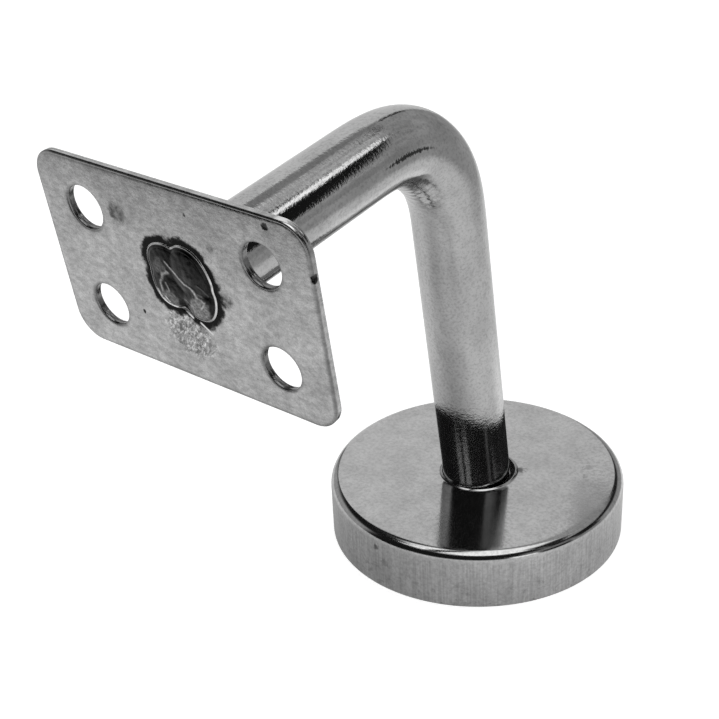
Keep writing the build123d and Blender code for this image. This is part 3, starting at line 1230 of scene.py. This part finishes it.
# %% [markdown]
# ## The studio
# A mirror-like object needs surroundings worth mirroring. They are painted on the world by
# direction, as soft-edged panels: a pale wall behind the bracket, a lamp up on the right, dim
# strips low down on both sides, a large soft light overhead and an unlit room behind the
# camera. Each panel is a window in azimuth and elevation, measured from +Y towards +X and up
# from the floor. The camera itself sees plain white.

# %% The world's direction as angles
world = bpy.data.worlds.new("studio")
bpy.context.scene.world = world
world.use_nodes = True
tree = world.node_tree
tree.nodes.clear()
direction = add_node(tree, "ShaderNodeTexCoord").outputs["Generated"]
parts = add_node(tree, "ShaderNodeSeparateXYZ")
feed(tree, parts.inputs[0], direction)
azimuth = reckon(tree, "ARCTAN2", parts.outputs["X"], parts.outputs["Y"])
azimuth = reckon(tree, "DEGREES", azimuth)
elevation = reckon(tree, "DEGREES", reckon(tree, "ARCSINE", parts.outputs["Z"]))


def panel(middle, half_width, up_from, up_to, soft, brightness):
    """Soft-edged window of light round a middle azimuth, between two elevations, in degrees."""
    turned = reckon(tree, "WRAP", reckon(tree, "SUBTRACT", azimuth, middle), 180.0, -180.0)
    aside = reckon(tree, "ABSOLUTE", turned)
    sides = [
        between(tree, aside, half_width - soft / 2, half_width + soft / 2, 1.0, 0.0),
        between(tree, elevation, up_from - soft / 2, up_from + soft / 2, 0.0, 1.0),
        between(tree, elevation, up_to - soft / 2, up_to + soft / 2, 1.0, 0.0),
    ]
    light = brightness
    for side in sides:
        light = reckon(tree, "MULTIPLY", side, light)
    return light


# %% Panels of the studio
patches = add_node(tree, "ShaderNodeTexNoise")
feed(tree, patches.inputs["Vector"], direction)
patches.inputs["Scale"].default_value = 14.0
patches.inputs["Detail"].default_value = 2.0
patchy = between(tree, patches.outputs["Fac"], 0.38, 0.62, 0.7, 1.15)
pale_wall = panel(-41, 16, -30, 46.5, 3, 0.73)
wall_fall = between(tree, azimuth, -44.0, -26.0, 1.0, 0.94)
# Each panel has its middle azimuth, half its width, its two elevations, the softness of its
# edge and its brightness. The light overhead goes all the way round.
lights = [
    reckon(tree, "MULTIPLY", pale_wall, wall_fall),
    panel(-95, 34, -30, 30, 12, 0.40),
    panel(8, 33, -30, 25, 6, 0.35),
    panel(-30, 18, 45, 66, 4, 0.28),
    reckon(tree, "MULTIPLY", panel(11, 24, 54.5, 66, 7, 0.60), patchy),
    panel(24, 10, 46, 56, 4, 0.56),
    panel(43, 10, 42, 50, 3, 1.60),
    panel(57, 16, -30, 14, 4, 0.31),
    panel(88, 22, 14, 29, 6, 0.22),
    panel(89, 4, 30, 48, 3, 0.14),
    panel(110, 10, -5, 13, 4, 1.25),
    panel(155, 40, -6, 5, 4, 0.38),
    panel(0, 181, 65, 91, 9, 1.36),
    panel(159, 68, 53.5, 66, 2.5, 1.36),
]
unlit_room = 0.012
brightness = unlit_room
for light in lights:
    brightness = reckon(tree, "ADD", brightness, light)
ray = add_node(tree, "ShaderNodeLightPath")
seen = add_node(tree, "ShaderNodeMix", data_type="FLOAT")
feed(tree, seen.inputs["Factor"], ray.outputs["Is Camera Ray"])
feed(tree, seen.inputs["A"], brightness)
feed(tree, seen.inputs["B"], 1.0)
background = add_node(tree, "ShaderNodeBackground")
background.inputs["Color"].default_value = (1.0, 1.0, 1.0, 1.0)
feed(tree, background.inputs["Strength"], seen.outputs[0])
output = add_node(tree, "ShaderNodeOutputWorld")
feed(tree, output.inputs["Surface"], background.outputs[0])
print("studio has", len(lights), "panels")

# %% View transform
bpy.context.scene.view_settings.view_transform = "Standard"
bpy.context.view_layer.update()
